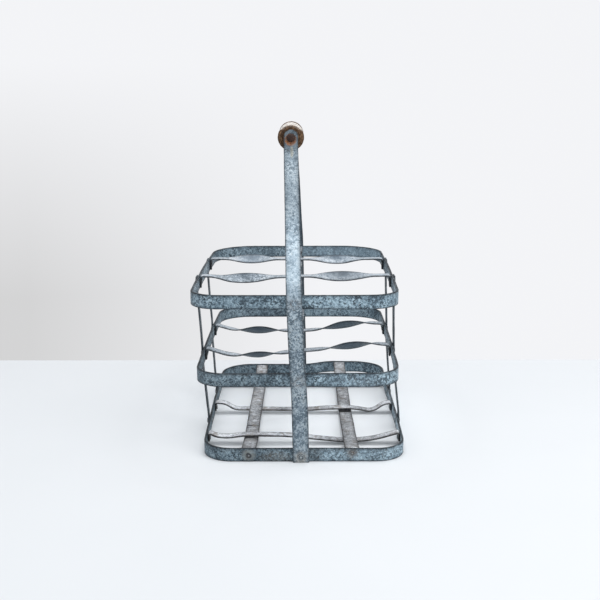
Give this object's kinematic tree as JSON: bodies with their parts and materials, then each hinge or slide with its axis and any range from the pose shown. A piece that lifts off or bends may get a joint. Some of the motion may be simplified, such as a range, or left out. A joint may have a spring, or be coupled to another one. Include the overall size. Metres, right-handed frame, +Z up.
{
  "type": "six-bottle carrier",
  "caption": "Open bottle carrier of riveted galvanised strip iron: stacked hoops, twisted dividers, woven strip floor, and a strap handle with a turned wooden grip.",
  "frame": {"origin": "on the ground, below the middle of the whole outline", "axes": "+Z up; +Y from the front end to the rear end, along the grip; +X to the right seen from the front end"},
  "size_m": [0.2224, 0.3156, 0.3283],
  "materials": {
    "galvanised_steel": "old dull galvanising, mottled blue-grey with dark specks and pale bloom",
    "zinc_strip": "worn zinc gone brownish grey, with pale rubbed edges",
    "rusted_steel": "dark rusty steel",
    "turned_wood": "dry, bleached turned wood, darkened at its ringed ends"
  },
  "bodies": {
    "frame": {"bottom_hoop": "galvanised_steel", "middle_hoop": "galvanised_steel", "top_hoop": "galvanised_steel", "floor_strip_left": "zinc_strip", "floor_strip_right": "zinc_strip", "floor_cross_strip_front": "zinc_strip", "floor_cross_strip_middle": "zinc_strip", "floor_cross_strip_rear": "zinc_strip", "middle_divider_front": "galvanised_steel", "middle_divider_rear": "galvanised_steel", "middle_centre_divider": "galvanised_steel", "top_divider_front": "galvanised_steel", "top_divider_rear": "galvanised_steel", "top_centre_divider": "galvanised_steel", "upright_front_left": "galvanised_steel", "upright_rear_left": "galvanised_steel", "upright_front_right": "galvanised_steel", "upright_rear_right": "galvanised_steel", "front_handle_leg": "galvanised_steel", "rear_handle_leg": "galvanised_steel", "grip_rod": "rusted_steel", "bottom_rivet_front_left": "galvanised_steel", "bottom_rivet_rear_left": "galvanised_steel", "bottom_rivet_front_right": "galvanised_steel", "bottom_rivet_rear_right": "galvanised_steel", "middle_rivet_front_left": "galvanised_steel", "middle_rivet_rear_left": "galvanised_steel", "middle_rivet_front_right": "galvanised_steel", "middle_rivet_rear_right": "galvanised_steel", "top_rivet_front_left": "galvanised_steel", "top_rivet_rear_left": "galvanised_steel", "top_rivet_front_right": "galvanised_steel", "top_rivet_rear_right": "galvanised_steel", "bottom_leg_rivet_front": "galvanised_steel", "middle_leg_rivet_front": "galvanised_steel", "top_leg_rivet_front": "galvanised_steel", "bottom_leg_rivet_rear": "galvanised_steel", "middle_leg_rivet_rear": "galvanised_steel", "top_leg_rivet_rear": "galvanised_steel", "floor_rivet_front_left": "galvanised_steel", "floor_rivet_rear_left": "galvanised_steel", "floor_rivet_front_right": "galvanised_steel", "floor_rivet_rear_right": "galvanised_steel", "floor_side_rivet_front_left": "galvanised_steel", "floor_side_rivet_front_right": "galvanised_steel", "floor_side_rivet_middle_left": "galvanised_steel", "floor_side_rivet_middle_right": "galvanised_steel", "floor_side_rivet_rear_left": "galvanised_steel", "floor_side_rivet_rear_right": "galvanised_steel"},
    "grip": {"wooden_grip": "turned_wood"}
  },
  "joints": [
    {"name": "grip_roll", "type": "hinge", "parent": "frame", "child": "grip", "pos_m": [-0.0086, 0, 0.3145], "axis": [0, 1, 0], "continuous": true}
  ]
}
